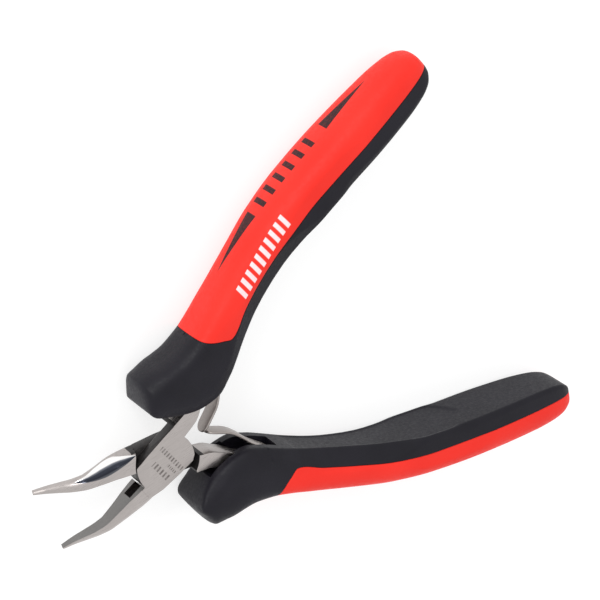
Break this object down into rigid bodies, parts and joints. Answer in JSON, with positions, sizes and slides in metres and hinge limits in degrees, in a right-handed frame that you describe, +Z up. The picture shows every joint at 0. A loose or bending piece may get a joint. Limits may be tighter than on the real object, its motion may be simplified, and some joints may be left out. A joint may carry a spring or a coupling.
{
  "type": "needle nose pliers",
  "caption": "Bent needle nose pliers for electronics, shown open: lap-jointed steel levers with half-round jaws, leaf return springs and two-part curved grips.",
  "frame": {"origin": "middle of the underside of the bounding box with the tool lying on its side, open; the pivot axis is parallel to Z at x = -31.98 mm, y = 0", "axes": "+X from the jaws to the handle ends, +Y towards handle a, +Z up along the pivot axis; the jaw tips bend down towards -Z"},
  "size_m": [0.12, 0.1014, 0.0156],
  "materials": {
    "lever_steel": "ground and satin-brushed tool steel, polished jaw flanks",
    "spring_steel": "tempered spring strip, satin with a warm grey tone",
    "core_plastic": "fine-grained charcoal moulding, matt",
    "skin_plastic": "soft matt red overmould with a fine grain"
  },
  "bodies": {
    "lever_a": {"lever_a": "lever_steel", "handle_core_a": "core_plastic", "grip_skin_a": "skin_plastic", "pivot_rivet": "lever_steel"},
    "lever_b": {"lever_b": "lever_steel", "handle_core_b": "core_plastic", "grip_skin_b": "skin_plastic"},
    "leaf_a": {"leaf_spring_a": "spring_steel"},
    "leaf_b": {"leaf_spring_b": "spring_steel"}
  },
  "joints": [
    {"name": "jaw_pivot", "type": "hinge", "parent": "lever_a", "child": "lever_b", "pos_m": [-0.03198, 0, 0.0078], "axis": [0, 0, 1], "range_deg": [0, 30.2], "stiffness_Nm_per_rad": 0.4, "springref_deg": -20.05},
    {"name": "leaf_a_bend", "type": "hinge", "parent": "lever_a", "child": "leaf_a", "pos_m": [-0.01098, 0.0119, 0.0078], "axis": [0, 0, 1], "range_deg": [-12.5, 0.5]},
    {"name": "leaf_b_bend", "type": "hinge", "parent": "lever_b", "child": "leaf_b", "pos_m": [-0.01098, -0.0119, 0.0078], "axis": [0, 0, 1], "range_deg": [-0.5, 12.5]}
  ],
  "couplings": [
    {"joint": "leaf_a_bend", "follows": "jaw_pivot", "ratio": -0.404},
    {"joint": "leaf_b_bend", "follows": "jaw_pivot", "ratio": 0.404}
  ]
}
